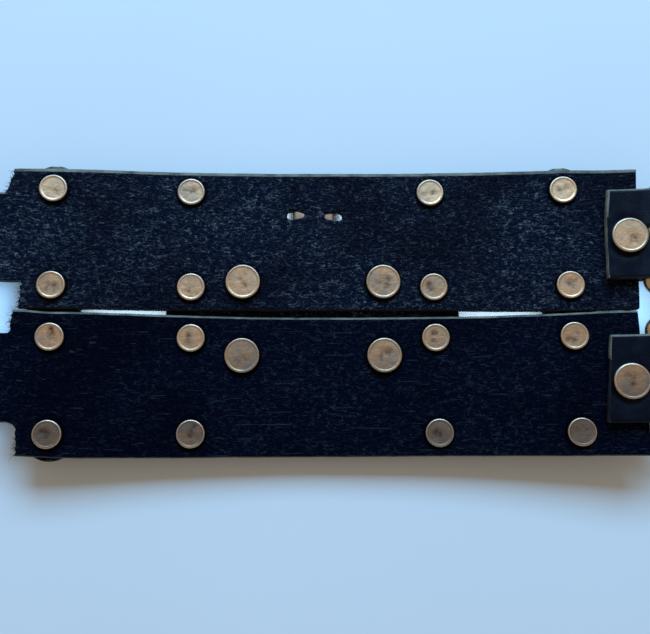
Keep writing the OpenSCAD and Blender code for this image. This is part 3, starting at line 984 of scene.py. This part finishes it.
    def painted_cap_shade(self, points):
        """How much painted shade the leather gets round the caps: 1 right beside a cap, 0 from 1 mm away."""
        dirt_and_shade = np.zeros(len(points))
        for rivet in self.caps:
            r = np.hypot(points[:, 0] - rivet.along, points[:, 1] - rivet.across)
            dirt_and_shade = np.maximum(dirt_and_shade, 1 - smooth((r - rivet.radius - 0.25) / 0.7))
        return dirt_and_shade

    def lit_edge_radii(self, middles, out):
        """The long upper edges and the tab's end are painted pale, a painted highlight for the window's light
        they catch.
        """
        folded = middles[:, 0] > self.right_of_bands()
        on_top = (out[:, 1] > 0.5) & (middles[:, 1] > self.y2 - 2)
        radii = np.where(on_top & ~folded, self.edge_r, 0)
        radii = np.where((out[:, 1] > 0.5) & (folded | (middles[:, 0] < self.left - 3)), 0.3, radii)
        tab_end = np.where(middles[:, 1] > self.mid + NOTCH, *TAB_EDGE_R[self.row])
        return np.where(folded & (out[:, 0] > 0.5), tab_end, radii)

    def build(self):
        flesh = UPPER_FLESH if self.row == "upper" else LOWER_FLESH
        piece = sheet(f"{self.row}_leather", self.pattern(), self.path.bend, self.thickness,
                      self.flesh, self.grain, [flesh, GRAIN, EDGE, LIT_EDGE], self.lit_edge_radii, self.painted_cap_shade)
        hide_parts(f"{self.row}_band", f"{self.row}_tongue")
        start = in_row(curl_points(-arc(FLEX_X - HALF_BEND), self.mid, 0))
        end = in_row(curl_points(-arc(FLEX_X + HALF_BEND), self.mid, 0))
        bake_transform(piece)


def ramp(x, start, length):
    """0 until start, then an even climb to 1 over a length."""
    return float(smooth((x - start) / length))


def make_bands():
    """The outlines bow a little: the bands all but meet at both ends of the gap."""
    upper_bows = (
        lambda x: -0.8 * ramp(x, 15, 60),
        lambda x: 0.15 - 0.5 * ramp(abs(x), 70, 20),
    )
    lower_bows = (
        lambda x: 0.8 * ramp(-x, 65, 20),
        lambda x: -0.3 + 1.15 * ramp(-x, 5, 65) + 0.5 * ramp(-x, 74, 8) + 1.1 * ramp(x, 40, 55),
    )
    upper = Band(
        "upper", strap=(21.7, 26.0, 93.8), shoulders=(86.0, 87.8, 82.2, 83.2), tab=(85.4, 84.5, 84.1),
        slot_back=5.2, fillets=(1.0, 0.7), edge_r=1.2, bows=upper_bows, seed=3.0,
    )
    lower = Band(
        "lower", strap=(-19.7, 24.2, 93.0), shoulders=(84.2, 85.3, 81.4, 81.6), tab=(83.9, 83.2, 81.7),
        slot_back=6.3, fillets=(3.6, 0.7), edge_r=0.75, bows=lower_bows, seed=11.0,
    )
    return upper, lower


BANDS = make_bands()
for band in BANDS:
    band.build()

# ---------------------------------------------------------------- loose fibres


def fibre(points, faces, start, angle, length, rng):
    """A hair of leather: a thin, bent, three-sided spike that sets off at an angle in plan."""
    first, steps, sides = len(points), 5, 3
    ahead = np.array([math.cos(angle), math.sin(angle), 0.1])
    bend = np.array([0, rng.uniform(-0.6, 0.6), rng.uniform(-0.3, 0.3)])
    for i in range(steps):
        t = i / (steps - 1)
        middle = start + length * t * (ahead + bend * t)
        radius = 0.075 * (1 - 0.75 * t)
        for k in range(sides):
            a = 2 * math.pi * k / sides
            side = np.array([-ahead[1] * math.cos(a), ahead[0] * math.cos(a), math.sin(a)])
            points.append(middle + radius * side)
    faces.extend(loft_faces(first, steps, sides))


def fuzz(bands):
    """Fibres that stand out from the rough cuts of the shoulders, most on the upper band."""
    rng = random.Random(5)
    points, faces = [], []
    for band, count in zip(bands, (50, 44)):
        bottom, top = band.fillets
        for low, high in ((band.high + top, band.y2), (band.y1, band.low - bottom)):
            for _ in range(count):
                across = rng.uniform(low, high)
                along = band.cut(across)
                dx, dy = band.push(along, across)
                start = curl_points([along + dx + 0.15], across + dy, -BAND_T * rng.uniform(0.05, 0.7))[0]
                angle = math.radians(rng.gauss(180, 38))
                fibre(points, faces, start, angle, rng.uniform(0.4, 1.9), rng)
    piece = mesh_object("shoulder_fuzz", points, faces, [EDGE])
    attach(piece, "cuff")


fuzz(BANDS)

# ---------------------------------------------------------------- straps on the front

# the width of a cross strap, and the spacing of the points on every front strap
CROSS_W = 14.8
STRAP_STEP = 0.6
# how far each cross strap leans to the left at its top, in degrees
LEANS = {"outer_left": 1.4, "inner_left": 1.1, "inner_right": 0.7, "outer_right": 1.2}


def strip_pattern(centre, lean, half_w, low, high, round_r):
    """An upright strap with round corners, leaning by an angle about its centre."""
    p = Pattern()

    def place(s, y):
        over = max(y - (high - round_r), (low + round_r) - y, 0)
        width = half_w - round_r + math.sqrt(max(round_r ** 2 - over ** 2, 0))
        x = s * width
        return centre + x * math.cos(lean) - y * math.sin(lean), x * math.sin(lean) + y * math.cos(lean)

    ends = [0.02, 0.12, 0.35, 0.8]
    rows = spaced([low + 1.2, high - 1.2], STRAP_STEP, fine=False)
    rows += [low + e for e in ends] + [high - e for e in ends]
    columns = [v / half_w for v in spaced([-half_w, half_w], STRAP_STEP)]
    p.block(columns, sorted(rows), place)
    return p


def front_strap(node, pattern, rivets, seed):
    """A strap on the bands' front: its flesh side lies on them, its grain side faces out."""
    def flesh(points):
        return np.zeros(len(points))

    def grain(points):
        return pressed(points, rivets) + 0.03 + abs(waves(points, 0.06, seed, 7))

    def thickness(points):
        return np.full(len(points), STRAP_T)

    # painted highlight: the straps' upper edges get the pale edge material
    def lit_edge_radii(middles, out):
        return np.where(out[:, 1] > 0.5, 0.5, 0)

    piece = sheet(f"{node}_leather", pattern, on_face(-BAND_T), thickness, flesh, grain,
                  [UPPER_FLESH, GRAIN, EDGE, LIT_EDGE], lit_edge_radii)
    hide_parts(node)
    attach(piece, "cuff")


def upright_pattern(low, high, round_r):
    """The pattern of a strap that fills its box and doesn't lean."""
    return strip_pattern((low[0] + high[0]) / 2, 0, (high[0] - low[0]) / 2, low[1], high[1], round_r)


def front_straps():
    """The cross straps, the link straps, and the centre flap with the staple's slots."""
    for seed, side in enumerate(CROSS):
        node = f"{side}_strap"
        low, high = box_mm(node) - MIDDLE
        rivets = rivets_of(f"{side}_rivet_caps")
        lean = math.radians(LEANS[side])
        centre = np.mean([r.along + r.across * math.tan(lean) for r in rivets])
        half_box = (high[0] - low[0]) / 2
        half_w = half_box - (high[1] - low[1] - CROSS_W) / 2 * math.sin(lean)
        pattern = strip_pattern(centre, lean, half_w, low[1], high[1], half_w)
        front_strap(node, pattern, rivets, 20 + seed)
    for seed, side in enumerate(("left", "right")):
        node = f"{side}_link_strap"
        low, high = box_mm(node) - MIDDLE
        rivets = [r for r in LINK if low[0] < r.centre[0] < high[0]]
        front_strap(node, upright_pattern(low, high, 3), rivets, 30 + seed)
    low, high = box_mm("centre_flap") - MIDDLE
    pattern = upright_pattern(low, high, 4)
    for out, x, y in STAPLE_SLOTS:
        pattern.punch((x + 0.5 * out, y + 0.5), (4.6, 3.6), slot_edge(1.6, 2.1, 1.7, out))
    front_strap("centre_flap", pattern, [], 40)


front_straps()

# ---------------------------------------------------------------- rivet caps

for seed, side in enumerate(CROSS + ("link", "fold")):
    height = 1.6 if side in CROSS else 2.0
    rim = 0.65 if side == "fold" else 0.38
    rivet_caps(f"{side}_rivet_caps", True, height, rim, 100 + seed)
    rivet_caps(f"{side}_rivet_posts", False, height, 0.38, 200 + seed)

# ---------------------------------------------------------------- staple

STAPLE_HALF_W = 1.5
STAPLE_HALF_T = 0.36
STAPLE_BEND_R = 0.7
# how much the staple's middle moves across for each millimetre along
STAPLE_LEAN = 0.035


def bent_plate(stations):
    """A loft along a bent strip. A station is x, z, which way out (x, z), and half the width."""
    corners = 8
    points = []
    for x, z, nx, nz, half_w in stations:
        for k in range(corners):
            a = 2 * math.pi * (k + 0.5) / corners
            u = half_w * np.sign(math.cos(a)) * abs(math.cos(a)) ** 0.35
            v = STAPLE_HALF_T * np.sign(math.sin(a)) * abs(math.sin(a)) ** 0.35
            points.append((x + nx * v, STAPLE_Y - STAPLE_LEAN * x + u, z + nz * v))
    return points, loft_faces(0, len(stations), corners)


def staple():
    """A flat crown on the flap, two bent legs and pointed tips folded towards each other."""
    crown_z, tip_z = STAPLE_LOW[2] + 0.45, STAPLE_HIGH[2] - 0.4
    upper_bend = np.linspace(0, math.pi / 2, 7)[1:]
    lower_bend = np.linspace(math.pi / 2, math.pi, 7)
    stations = []
    for out, leg_x, tip_x in ((-1, -5.5, -2.1), (1, 5.95, 2.4)):
        bend_x = leg_x - out * STAPLE_BEND_R
        side = [
            (tip_x + (bend_x - tip_x) * t, tip_z, 0, 1, STAPLE_HALF_W * (0.22 + 0.95 * t ** 0.75))
            for t in np.linspace(0, 1, 14)
        ]
        for bend_z, turns in ((tip_z - STAPLE_BEND_R, upper_bend), (crown_z + STAPLE_BEND_R, lower_bend)):
            for a in turns:
                nx, nz = out * math.sin(a), math.cos(a)
                place = (bend_x + nx * STAPLE_BEND_R, bend_z + nz * STAPLE_BEND_R)
                side.append((*place, nx, nz, STAPLE_HALF_W))
        stations.append(side)
    left, right = stations
    points, faces = bent_plate(left + right[::-1])
    piece = mesh_object("centre_staple_bent", points, faces, [DULL_NICKEL])
    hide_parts("centre_staple")
    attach(piece, "cuff")


staple()

# ---------------------------------------------------------------- buckles

FRAME_LENGTH = 26.0
FRAME_HALF_W = 15.6
HEEL_CORNER_R = 2.6
END_CORNER_R = 5.0
PRONG_R = 1.1
PRONG_LENGTH = 28.2
PRONG_W = 3.2
RING_R = 3.15


def tube(line, radii, closed, segments, flat=1.0):
    """Rings along a level line of points, with a radius at each; flat scales their height."""
    line = [np.array(p, float) for p in line]
    count = len(line)
    points = []
    for i, p in enumerate(line):
        ahead = line[(i + 1) % count] if closed else line[min(i + 1, count - 1)]
        behind = line[i - 1] if closed else line[max(i - 1, 0)]
        along = (ahead - behind) / np.linalg.norm(ahead - behind)
        up = np.array([0.0, 0.0, 1.0])
        side = np.cross(up, along)
        side /= np.linalg.norm(side)
        up = np.cross(along, side)
        for k in range(segments):
            a = 2 * math.pi * k / segments
            points.append(p + radii[i] * (side * math.cos(a) + up * math.sin(a) * flat))
    return points, loft_faces(0, count, segments, closed)


def frame_line():
    """The centre line of the wire, with the heel bar on the Y axis."""
    x1, x2 = HEEL_CORNER_R, FRAME_LENGTH - END_CORNER_R
    y1, y2 = FRAME_HALF_W - HEEL_CORNER_R, FRAME_HALF_W - END_CORNER_R
    corners = (
        (x2, y2, END_CORNER_R, 90),
        (x2, -y2, END_CORNER_R, 360),
        (x1, -y1, HEEL_CORNER_R, 270),
        (x1, y1, HEEL_CORNER_R, 180),
    )
    whole = [
        (cx + r * math.cos(a), cy + r * math.sin(a), 0)
        for cx, cy, r, start in corners
        for a in np.radians(np.linspace(start, start - 90, 10))
    ]
    line = []
    for a, b in zip(whole, whole[1:] + whole[:1]):
        steps = max(1, round(math.dist(a, b) / 1.5))
        line += [tuple(np.array(a) + (np.array(b) - a) * i / steps) for i in range(steps)]
    return line


def bar_axes(row, part):
    """The heel bar's middle, and its axes: to the part's far end, along the bar, square to both."""
    joint = JOINTS[f"{row}_prong_swing"]
    middle = np.array(joint["pos_m"])
    along = np.array(joint["axis"])
    mesh = frame["nodes"][f"{row}_buckle_{part}"].data
    spread = np.array([v.co for v in mesh.vertices]) - middle
    spread -= np.outer(spread @ along, along)
    ahead = spread[np.linalg.norm(spread, axis=1) > (PRONG_LENGTH - 5) * MM].mean(0)
    ahead /= np.linalg.norm(ahead)
    return middle, np.stack([ahead, along, np.cross(ahead, along)], 1)


def buckle_piece(row, part, points, faces):
    """A buckle's frame or prong, put in its place from points on the heel bar's axes."""
    middle, axes = bar_axes(row, part)
    placed = (np.array(points) @ axes.T) + middle / MM - MIDDLE
    piece = mesh_object(f"{row}_buckle_{part}_worn", placed, faces, [BRASS])
    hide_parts(f"{row}_buckle_{part}")
    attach(piece, f"{row}_{part}")


def buckle_frame(row, seed):
    """A bent wire frame, a little flattened where the strap rubs its far bar."""
    line = frame_line()
    radii = []
    for x, y, _ in line:
        rub = 0.12 * float(smooth((x - FRAME_LENGTH + 4) / 4)) * (1 - float(smooth((abs(y) - 6) / 5)))
        wobble = 0.02 * fbm(x, y, seed, 4) if x > 3 else 0
        radii.append(WIRE_R - 0.02 - rub - abs(wobble))
    points, faces = tube(line, radii, closed=True, segments=28)
    buckle_piece(row, "frame", points, faces)


def buckle_prong(row):
    """A tapered prong with a rounded tip, on a ring rolled round the heel bar."""
    stations = np.linspace(RING_R - 0.6, PRONG_LENGTH + PRONG_R * 0.9, 60)
    line, radii = [], []
    for x in stations:
        taper = PRONG_R * (1 - 0.12 * (x - RING_R) / PRONG_LENGTH)
        tip = min(1.0, (PRONG_LENGTH + PRONG_R - x) / PRONG_R)
        line.append((x, 0, 0))
        radii.append(taper * math.sqrt(max(1 - (1 - tip) ** 2, 0.01)))
    points, faces = tube(line, radii, closed=False, segments=20, flat=0.95)

    # the ring's section is a rectangle with rounded corners, and every second one is walked backwards
    inner, outer, half = WIRE_R + 0.05, RING_R - 0.03, PRONG_W / 2 - 0.02
    soft = 0.35
    steps = [(0, soft), (soft * 0.3, soft * 0.3), (soft, 0)]
    corners = ((inner, -half, 1, 1, 1), (outer, -half, -1, 1, -1),
               (outer, half, -1, -1, 1), (inner, half, 1, -1, -1))
    section = [(r + i * dr, y + j * dy) for r, y, i, j, way in corners for dr, dy in steps[::way]]
    first, turns = len(points), 64
    for i in range(turns):
        a = 2 * math.pi * i / turns
        points += [(r * math.cos(a), y, r * math.sin(a)) for r, y in section]
    faces += loft_faces(first, turns, len(section), closed=True, flip=True)
    buckle_piece(row, "prong", points, faces)


for seed, row in enumerate(("upper", "lower")):
    buckle_frame(row, 60.0 + seed)
    buckle_prong(row)

# ---------------------------------------------------------------- floor and light

SKY_BLUE = (0.315, 0.65, 1.0)
PALE_SKY = (0.68, 0.87, 1.0)


def add_floor():
    """A pale floor just under the cuff."""
    n = Nodes("pale_floor")
    tint = n.span(n.noise(6, 3), 0.3, 0.7)
    colour = n.mix(tint, (0.71, 0.79, 0.86, 1), (0.74, 0.82, 0.89, 1))
    normal = n.bump(n.noise(900, 3), 0.05, 0.0001)
    n.finish(Base_Color=colour, Roughness=0.7, Specular_IOR_Level=0.15, Normal=normal)
    bpy.ops.mesh.primitive_plane_add(size=6, location=(0, 0, CAD_BOX[0].z - 0.0002))
    floor = bpy.context.object
    floor.name = "floor"
    floor.data.materials.append(n.material)


def add_area(name, place, aim, size, power, colour):
    """A rectangular lamp at a place, pointed at aim."""
    data = bpy.data.lights.new(name, "AREA")
    data.shape = "RECTANGLE"
    data.size, data.size_y = size
    data.energy = power
    data.color = colour
    lamp = bpy.data.objects.new(name, data)
    bpy.context.scene.collection.objects.link(lamp)
    lamp.location = place
    lamp.rotation_mode = "QUATERNION"
    lamp.rotation_quaternion = (Vector(aim) - Vector(place)).to_track_quat("-Z", "Y")


def add_lights():
    """A blue window beyond the upper band, a warm room, and light that leaks in underneath."""
    add_area("window", (0.05, 0.80, 0.75), (0, 0, 0), (0.8, 0.5), 15.9, SKY_BLUE)
    world = bpy.data.worlds.new("room")
    bpy.context.scene.world = world
    world.use_nodes = True
    shade = world.node_tree.nodes["Background"]
    shade.inputs["Color"].default_value = (1.0, 0.82, 0.63, 1)
    shade.inputs["Strength"].default_value = 0.36
    leaks = [(side * 55, 0.5, 5.0, 25, 7, 0.0012, PALE_SKY) for side in (-1, 1)]
    leaks += [(side * 95.5, 2.5, 4.0, 12, 15, 0.00105, SKY_BLUE) for side in (-1, 1)]
    leaks.append((-94, -37, 4.0, 10, 10, 0.00026, SKY_BLUE))
    leaks += [(x, STAPLE_Y + 2.6, 0.8, 4.4, 8, 0.00026, PALE_SKY) for x in (-9.8, 10.8)]
    for i, (x, y, z, width, depth, power, colour) in enumerate(leaks):
        place = in_row((x, y, z))
        below = place - (0, 0, 0.01)
        add_area(f"leak_{i}", place, below, (width * MM, depth * MM), power, colour)


add_floor()
add_lights()
bpy.context.scene.view_settings.view_transform = "Standard"
